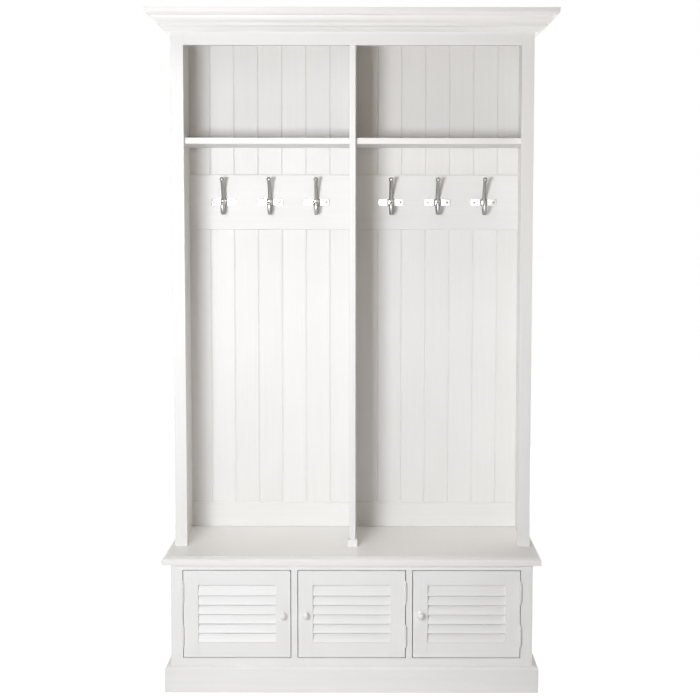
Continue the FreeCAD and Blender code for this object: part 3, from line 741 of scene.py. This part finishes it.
def smooth_by_angle():
    """Modifier tree that drops stored normals and shades smooth below an angle."""
    tree = bpy.data.node_groups.new("smooth_by_angle", "GeometryNodeTree")
    tree.interface.new_socket("Geometry", in_out="INPUT", socket_type="NodeSocketGeometry")
    tree.interface.new_socket("Geometry", in_out="OUTPUT", socket_type="NodeSocketGeometry")
    source = tree.nodes.new("NodeGroupInput")
    target = tree.nodes.new("NodeGroupOutput")
    plain = add(tree, "GeometryNodeRemoveAttribute",
                (("Geometry", source.outputs[0]), ("Name", "custom_normal")))
    faces = add(tree, "GeometryNodeSetShadeSmooth",
                (("Geometry", plain.outputs[0]), ("Shade Smooth", True)))
    angle = add(tree, "GeometryNodeInputMeshEdgeAngle")
    flat = add(tree, "FunctionNodeCompare",
               (("A", angle.outputs["Unsigned Angle"]), ("B", SMOOTH_ANGLE)),
               data_type="FLOAT", operation="LESS_THAN")
    edges = add(tree, "GeometryNodeSetShadeSmooth",
                (("Geometry", faces.outputs[0]), ("Shade Smooth", flat.outputs[0])), domain="EDGE")
    tree.links.new(edges.outputs[0], target.inputs[0])
    return tree


def soften(node, width, tree):
    """Eases the edges of a node with modifiers; its mesh stays as it is."""
    weld = node.modifiers.new("weld", "WELD")
    weld.merge_threshold = WELD_REACH * MM
    merge = node.modifiers.new("flat_faces", "DECIMATE")
    merge.decimate_type = "DISSOLVE"
    merge.angle_limit = FLAT_ANGLE
    ease = node.modifiers.new("eased_edges", "BEVEL")
    ease.width = width
    ease.segments = EDGE_STEPS
    ease.limit_method = "ANGLE"
    ease.angle_limit = EASE_ANGLE
    smooth = node.modifiers.new("smooth_by_angle", "NODES")
    smooth.node_group = tree
    weighted = node.modifiers.new("flat_normals", "WEIGHTED_NORMAL")
    weighted.keep_sharp = True


def finish_nodes(materials):
    tree = smooth_by_angle()
    for name, node in frame["nodes"].items():
        finish, width = node_finish(name)
        node.data.materials.clear()
        node.data.materials.append(materials[finish])
        if width:
            soften(node, width * MM, tree)


def node_finish(name):
    """Finish and edge width in millimetres of a node."""
    if name == "back_boards":
        return "boards", 0.0
    if "hinge" in name:
        return "hinge", HINGE_EDGE
    if name.endswith("strike"):
        return "steel", STRIKE_EDGE
    if name == "magnet_catches":
        return "plastic", CATCH_EDGE
    if name.endswith("louvres"):
        return "across", SLAT_EDGE
    if name.startswith("coat_hook"):
        return "hook", 0.0
    if name.endswith("knob"):
        return "across", 0.0
    width = EASED.get(name, PLAIN_EDGE)
    if name in UPRIGHT:
        return "upright", width
    if name in DEEP:
        return "deep", width
    return "across", width


# Studio; a lamp is (name, place, target, size, power, colour, beam in degrees)
AMBIENT = 0.005
AMBIENT_COLOUR = (1.0, 0.94, 0.87, 1)
FLOOR_COLOUR = (0.86, 0.86, 0.86, 1)
FLOOR_HALF = 40.0
FLOOR_NEAR_GLOW = 0.8
FLOOR_NEAR = 1.2
FLOOR_FAR = 4.0
LAMPS = (
    ("key", (-0.78, -2.9, 1.38), (0.0, 0.0, 1.2), (0.62, 0.45), 53.5, (0.935, 0.963, 1.0), 180),
    ("lower_left", (-0.95, -2.3, 0.55), (0.0, 0.0, 0.35), (0.6, 0.6), 3.4, (1.0, 0.98, 0.96), 180),
    ("upper", (-0.65, -1.8, 2.3), (0.0, 0.0, 1.0), (0.8, 0.8), 3.4, (0.82, 0.91, 1.0), 180),
    ("front_fill", (0.1, -1.2, 1.7), (0.1, 0.2, 1.85), (0.9, 0.3), 1.4, (1.0, 0.7, 0.48), 180),
    ("top", (0.0, -1.4, 4.5), (0.0, -1.4, 0.0), (4.0, 3.0), 36.0, (1.0, 0.9, 0.8), 180),
    ("bench", (-0.3, -0.6, 2.6), (-0.1, -0.05, 0.42), (1.2, 0.3), 1.0, (1.0, 0.97, 0.95), 60),
    ("side_left", (-3.2, 0.3, 0.3), (-0.56, 0.1, 1.3), (0.6, 0.5), 15.0, (1.0, 0.98, 0.96), 100),
    ("side_right", (3.2, 0.3, 0.3), (0.56, 0.1, 1.3), (0.6, 0.5), 15.0, (1.0, 0.98, 0.96), 100),
    ("rear", (0.0, 4.5, 0.36), (0.0, 0.2, 1.0), (2.0, 0.6), 34.0, (1.0, 0.98, 0.96), 100),
    ("crown", (0.0, 1.3, 4.3), (0.0, 0.15, 2.0), (0.8, 0.6), 4.0, (1.0, 0.98, 0.96), 50),
)


def seen_rays(tree, strength):
    """strength for camera, glossy and transmission rays, and 0 for the rest."""
    rays = add(tree, "ShaderNodeLightPath").outputs
    seen = math_node(tree, "MAXIMUM", rays["Is Camera Ray"], rays["Is Glossy Ray"])
    seen = math_node(tree, "MAXIMUM", seen, rays["Is Transmission Ray"])
    return math_node(tree, "MULTIPLY", seen, strength)


def floor_material():
    """Pale floor that camera, glossy and transmission rays see near white, with the object's shadow."""
    material = bpy.data.materials.new("studio_floor")
    material.use_nodes = True
    tree = material.node_tree
    tree.nodes.clear()
    matt = add(tree, "ShaderNodeBsdfDiffuse", (("Color", FLOOR_COLOUR),))
    place = add(tree, "ShaderNodeTexCoord").outputs["Object"]
    distance = add(tree, "ShaderNodeVectorMath", ((0, place),), operation="LENGTH").outputs["Value"]
    level = remap(tree, distance, FLOOR_NEAR, FLOOR_FAR, FLOOR_NEAR_GLOW, 1.0)
    glow = add(tree, "ShaderNodeEmission", (("Strength", seen_rays(tree, level)),))
    both = add(tree, "ShaderNodeAddShader", ((0, matt.outputs[0]), (1, glow.outputs[0])))
    output = add(tree, "ShaderNodeOutputMaterial")
    tree.links.new(both.outputs[0], output.inputs["Surface"])
    return material


def studio_floor():
    bm = bmesh.new()
    signs = ((-1, -1), (1, -1), (1, 1), (-1, 1))
    bm.faces.new([bm.verts.new((x * FLOOR_HALF, y * FLOOR_HALF, 0)) for x, y in signs])
    floor = bpy.data.objects.new("studio_floor", mesh_of("studio_floor", bm))
    floor.data.materials.append(floor_material())
    bpy.context.scene.collection.objects.link(floor)


def studio_world():
    world = bpy.data.worlds.new("studio_world")
    bpy.context.scene.world = world
    world.use_nodes = True
    tree = world.node_tree
    tree.nodes.clear()
    ambient = add(tree, "ShaderNodeBackground", (("Color", AMBIENT_COLOUR), ("Strength", AMBIENT)))
    seen = add(tree, "ShaderNodeBackground", (("Color", (1, 1, 1, 1)), ("Strength", 1.0)))
    choice = add(tree, "ShaderNodeMixShader",
                 ((0, seen_rays(tree, 1.0)), (1, ambient.outputs[0]), (2, seen.outputs[0])))
    output = add(tree, "ShaderNodeOutputWorld")
    tree.links.new(choice.outputs[0], output.inputs["Surface"])


def area_light(name, location, target, size, power, colour, beam):
    light = bpy.data.lights.new(name, "AREA")
    light.shape = "RECTANGLE"
    light.size, light.size_y = size
    light.energy = power
    light.color = colour
    light.spread = math.radians(beam)
    lamp = bpy.data.objects.new(name, light)
    bpy.context.scene.collection.objects.link(lamp)
    lamp.location = location
    lamp.rotation_euler = (Vector(target) - Vector(location)).to_track_quat("-Z", "Y").to_euler()
    lamp.visible_camera = False


# Camera at the photograph's viewing angle
SENSOR_WIDTH = 36.0
CAMERA_LENS = 71.274
CAMERA_SHIFT = (-0.03479, -0.03973)
CAMERA_REACH = 200.0
CAMERA_PLACE = (0.0674, -4.3545, 1.4601)
CAMERA_DIP = 0.0777
CAMERA_ROLL = -0.0015


def photo_camera():
    camera = bpy.data.cameras.new("photo_camera")
    camera.sensor_width = SENSOR_WIDTH
    camera.lens = CAMERA_LENS
    camera.shift_x, camera.shift_y = CAMERA_SHIFT
    camera.clip_end = CAMERA_REACH
    view = bpy.data.objects.new("photo_camera", camera)
    view.location = CAMERA_PLACE
    view.rotation_euler = (math.pi / 2 - CAMERA_DIP, CAMERA_ROLL, 0)
    bpy.context.scene.collection.objects.link(view)
    bpy.context.scene.camera = view


# The scene itself
BOARD_COUNT = 14
board_low, board_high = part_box("back_boards")
board_pitch = (board_high.x - board_low.x) / BOARD_COUNT
finishes = {
    "across": painted("white_paint_across", 0),
    "deep": painted("white_paint_deep", 1),
    "upright": painted("white_paint_upright", 2),
    "boards": painted("white_paint_boards", 2, (board_low.x, board_pitch)),
    "hinge": enamelled_metal(),
    "hook": cast_metal(),
    "plastic": moulded_plastic(),
    "steel": brushed_steel("plated_steel", *PLATED_STEEL),
    "screw": brushed_steel("screw_steel", *SCREW_STEEL),
}
finish_nodes(finishes)
coat_hooks(finishes["hook"], finishes["screw"])
knobs(finishes["across"])
hinge_pins(finishes["hinge"])
hinge_screws(finishes["screw"])
door_fasteners(finishes["screw"])
catch_poles(finishes["steel"])
studio_floor()
studio_world()
for lamp in LAMPS:
    area_light(*lamp)
photo_camera()
bpy.context.scene.view_settings.view_transform = "Standard"
